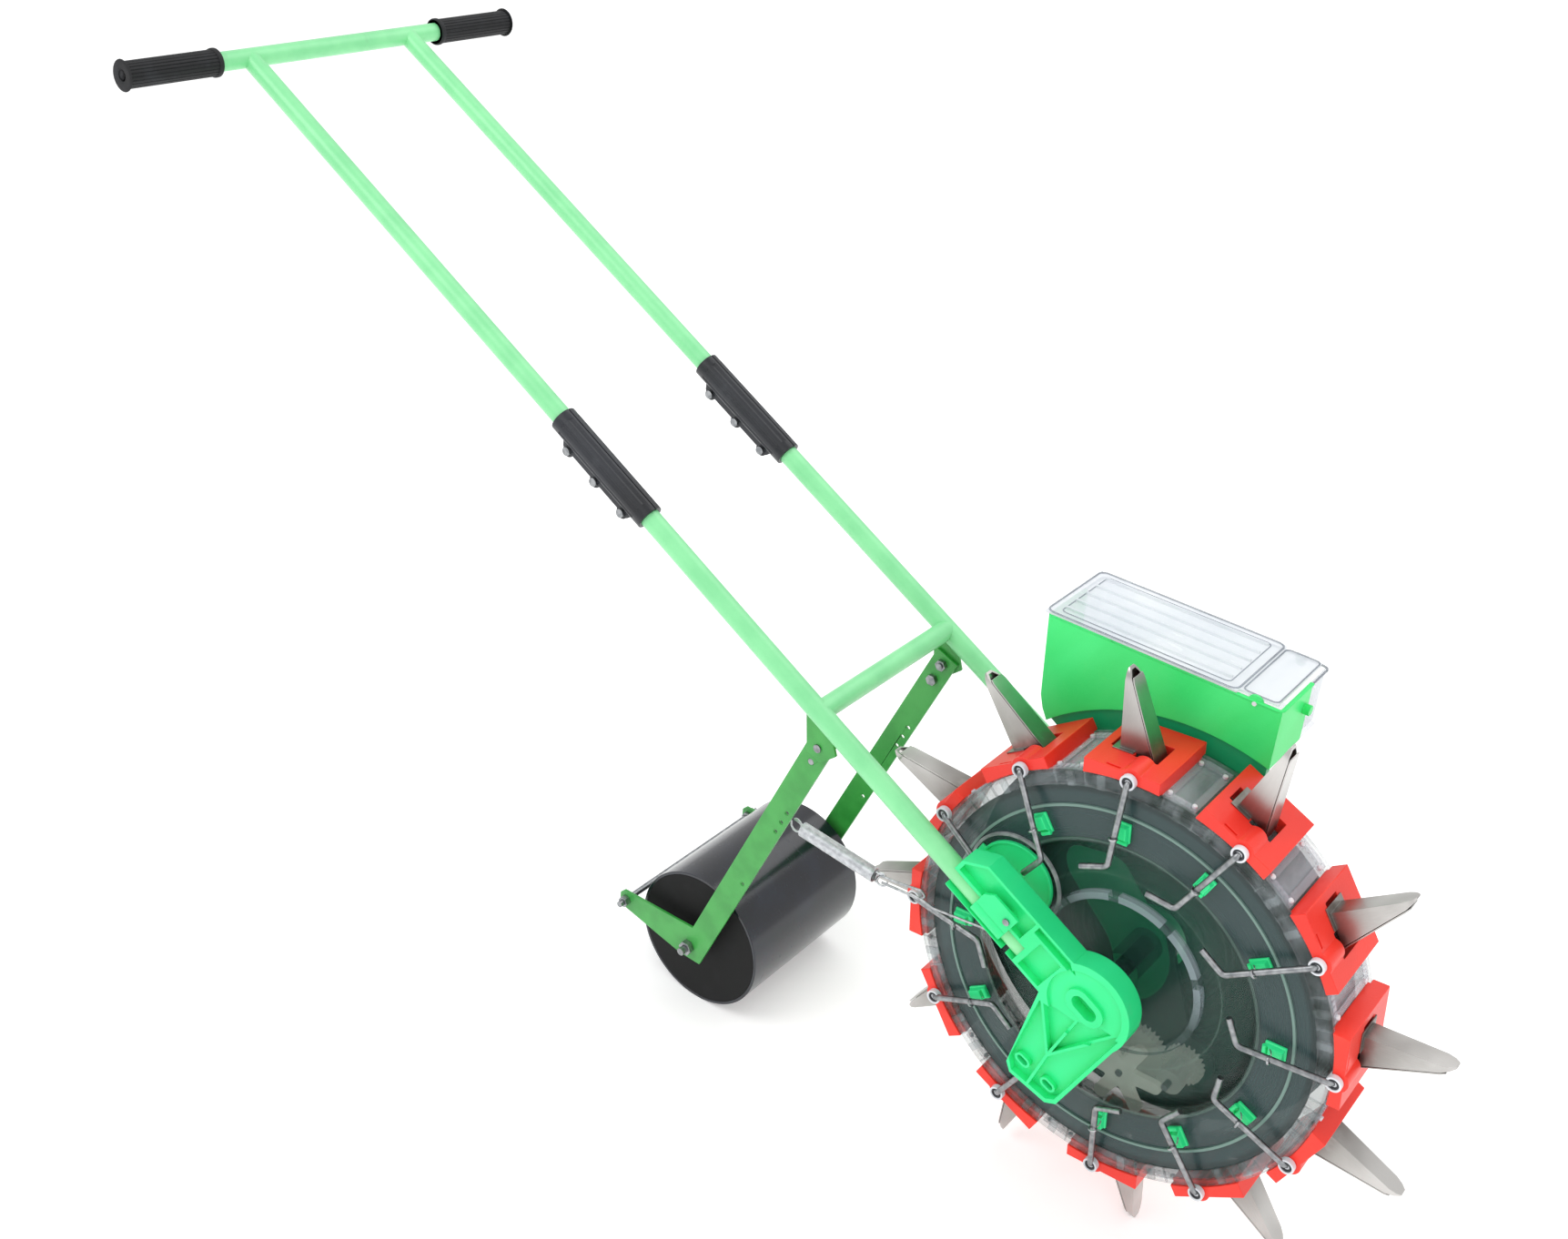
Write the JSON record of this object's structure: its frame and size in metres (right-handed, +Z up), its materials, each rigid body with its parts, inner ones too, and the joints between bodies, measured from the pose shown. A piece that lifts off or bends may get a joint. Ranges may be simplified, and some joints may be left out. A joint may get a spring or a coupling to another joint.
{
  "type": "push seeder",
  "caption": "Hand-pushed seeder: spiked outlet wheel with opening beaks, side hopper with lid, sprung press roller and a long two-tube handle.",
  "frame": {"origin": "middle of the footprint on the ground (bottom centre of the bounding box)", "axes": "+X is the way it is pushed, +Y its left-hand side, +Z up"},
  "size_m": [1.7278, 0.63, 1.0801],
  "materials": {
    "tube_green": "powder coat, satin",
    "bar_green": "powder coat, satin",
    "plastic_green": "moulded, semi-gloss",
    "hopper_green": "moulded, semi-gloss",
    "seat_red": "moulded, semi-gloss",
    "steel": "brushed stainless",
    "zinc": "zinc plated",
    "drum_smoky": "smoky see-through",
    "clear_plastic": "clear, see-through",
    "black_plastic": "moulded, satin",
    "grip_rubber": "matt rubber",
    "star_white": "moulded, matt"
  },
  "bodies": {
    "frame": {"arm_tabs": "bar_green", "axle": "steel", "axle_collars": "zinc", "clamp_cover_left": "plastic_green", "clamp_cover_right": "plastic_green", "clamp_screws": "zinc", "crossbar": "tube_green", "gear_pins": "zinc", "grip_left": "grip_rubber", "grip_right": "grip_rubber", "handlebar": "tube_green", "hopper_back": "clear_plastic", "hopper_neck": "hopper_green", "hopper_tub": "hopper_green", "lid_pins": "zinc", "lower_tube_left": "tube_green", "lower_tube_right": "tube_green", "pivot_bolts": "zinc", "seed_housing": "plastic_green", "side_arm_left": "plastic_green", "side_arm_right": "plastic_green", "sleeve_bolts": "zinc", "sleeve_inner_left": "black_plastic", "sleeve_inner_right": "black_plastic", "sleeve_outer_left": "black_plastic", "sleeve_outer_right": "black_plastic", "upper_tube_left": "tube_green", "upper_tube_right": "tube_green"},
    "wheel": {"drum_near_disc": "drum_smoky", "drum_far_disc": "drum_smoky", "drum_rim": "clear_plastic", "outlet_seats": "seat_red", "fixed_beaks": "steel", "crank_clips": "plastic_green", "drive_pegs": "zinc"},
    "star": {"star_wheel": "star_white", "star_gear": "black_plastic"},
    "meter": {"meter_roller": "star_white"},
    "lid": {"hopper_lid": "clear_plastic"},
    "roller_arms": {"roller_arm_right": "bar_green", "roller_arm_left": "bar_green", "roller_axle": "zinc", "rear_rod": "zinc", "roller_nuts": "zinc", "tension_spring": "zinc", "spring_hook": "zinc"},
    "roller": {"roller_shell": "black_plastic", "roller_ends": "black_plastic"},
    "beak_01": {"moving_beak_01": "steel"},
    "beak_02": {"moving_beak_02": "steel"},
    "beak_03": {"moving_beak_03": "steel"},
    "beak_04": {"moving_beak_04": "steel"},
    "beak_05": {"moving_beak_05": "steel"},
    "beak_06": {"moving_beak_06": "steel"},
    "beak_07": {"moving_beak_07": "steel"},
    "beak_08": {"moving_beak_08": "steel"},
    "beak_09": {"moving_beak_09": "steel"},
    "beak_10": {"moving_beak_10": "steel"},
    "beak_11": {"moving_beak_11": "steel"},
    "beak_12": {"moving_beak_12": "steel"}
  },
  "joints": [
    {"name": "wheel_spin", "type": "hinge", "parent": "frame", "child": "wheel", "pos_m": [0.52042, -0.033, 0.34347], "axis": [0, 1, 0], "continuous": true},
    {"name": "star_spin", "type": "hinge", "parent": "frame", "child": "star", "pos_m": [0.54242, -0.033, 0.20797], "axis": [0, 1, 0], "continuous": true},
    {"name": "meter_spin", "type": "hinge", "parent": "frame", "child": "meter", "pos_m": [0.59625, -0.033, 0.22341], "axis": [0, 1, 0], "continuous": true},
    {"name": "lid_hinge", "type": "hinge", "parent": "frame", "child": "lid", "pos_m": [0.56542, 0.089, 0.66647], "axis": [0, 1, 0], "range_deg": [0, 100]},
    {"name": "roller_arm_swing", "type": "hinge", "parent": "frame", "child": "roller_arms", "pos_m": [0.14342, 0, 0.48147], "axis": [0, 1, 0], "range_deg": [-3, 12], "stiffness_Nm_per_rad": 60, "springref_deg": -6.3, "deforming": ["tension_spring", "spring_hook"]},
    {"name": "roller_spin", "type": "hinge", "parent": "roller_arms", "child": "roller", "pos_m": [-0.02158, 0, 0.09407], "axis": [0, 1, 0], "continuous": true},
    {"name": "beak_01_hinge", "type": "hinge", "parent": "wheel", "child": "beak_01", "pos_m": [0.37475, -0.033, 0.54665], "axis": [0, 1, 0], "range_deg": [0, 22], "stiffness_Nm_per_rad": 0.5, "springref_deg": -34.38},
    {"name": "beak_02_hinge", "type": "hinge", "parent": "wheel", "child": "beak_02", "pos_m": [0.49585, -0.033, 0.59226], "axis": [0, 1, 0], "range_deg": [0, 22], "stiffness_Nm_per_rad": 0.5, "springref_deg": -34.38},
    {"name": "beak_03_hinge", "type": "hinge", "parent": "wheel", "child": "beak_03", "pos_m": [0.62354, -0.033, 0.57122], "axis": [0, 1, 0], "range_deg": [0, 22], "stiffness_Nm_per_rad": 0.5, "springref_deg": -34.38},
    {"name": "beak_04_hinge", "type": "hinge", "parent": "wheel", "child": "beak_04", "pos_m": [0.72359, -0.033, 0.48915], "axis": [0, 1, 0], "range_deg": [0, 22], "stiffness_Nm_per_rad": 0.5, "springref_deg": -34.38},
    {"name": "beak_05_hinge", "type": "hinge", "parent": "wheel", "child": "beak_05", "pos_m": [0.76921, -0.033, 0.36804], "axis": [0, 1, 0], "range_deg": [0, 22], "stiffness_Nm_per_rad": 0.5, "springref_deg": -34.38},
    {"name": "beak_06_hinge", "type": "hinge", "parent": "wheel", "child": "beak_06", "pos_m": [0.74816, -0.033, 0.24036], "axis": [0, 1, 0], "range_deg": [0, 22], "stiffness_Nm_per_rad": 0.5, "springref_deg": -34.38},
    {"name": "beak_07_hinge", "type": "hinge", "parent": "wheel", "child": "beak_07", "pos_m": [0.66609, -0.033, 0.1403], "axis": [0, 1, 0], "range_deg": [0, 22], "stiffness_Nm_per_rad": 0.5, "springref_deg": -34.38},
    {"name": "beak_08_hinge", "type": "hinge", "parent": "wheel", "child": "beak_08", "pos_m": [0.54499, -0.033, 0.09468], "axis": [0, 1, 0], "range_deg": [0, 22], "stiffness_Nm_per_rad": 0.5, "springref_deg": -34.38},
    {"name": "beak_09_hinge", "type": "hinge", "parent": "wheel", "child": "beak_09", "pos_m": [0.4173, -0.033, 0.11573], "axis": [0, 1, 0], "range_deg": [0, 22], "stiffness_Nm_per_rad": 0.5, "springref_deg": -34.38},
    {"name": "beak_10_hinge", "type": "hinge", "parent": "wheel", "child": "beak_10", "pos_m": [0.31725, -0.033, 0.1978], "axis": [0, 1, 0], "range_deg": [0, 22], "stiffness_Nm_per_rad": 0.5, "springref_deg": -34.38},
    {"name": "beak_11_hinge", "type": "hinge", "parent": "wheel", "child": "beak_11", "pos_m": [0.27163, -0.033, 0.3189], "axis": [0, 1, 0], "range_deg": [0, 22], "stiffness_Nm_per_rad": 0.5, "springref_deg": -34.38},
    {"name": "beak_12_hinge", "type": "hinge", "parent": "wheel", "child": "beak_12", "pos_m": [0.29268, -0.033, 0.44659], "axis": [0, 1, 0], "range_deg": [0, 22], "stiffness_Nm_per_rad": 0.5, "springref_deg": -34.38}
  ],
  "couplings": [
    {"joint": "star_spin", "follows": "wheel_spin", "ratio": 2},
    {"joint": "meter_spin", "follows": "wheel_spin", "ratio": -3.0909}
  ]
}
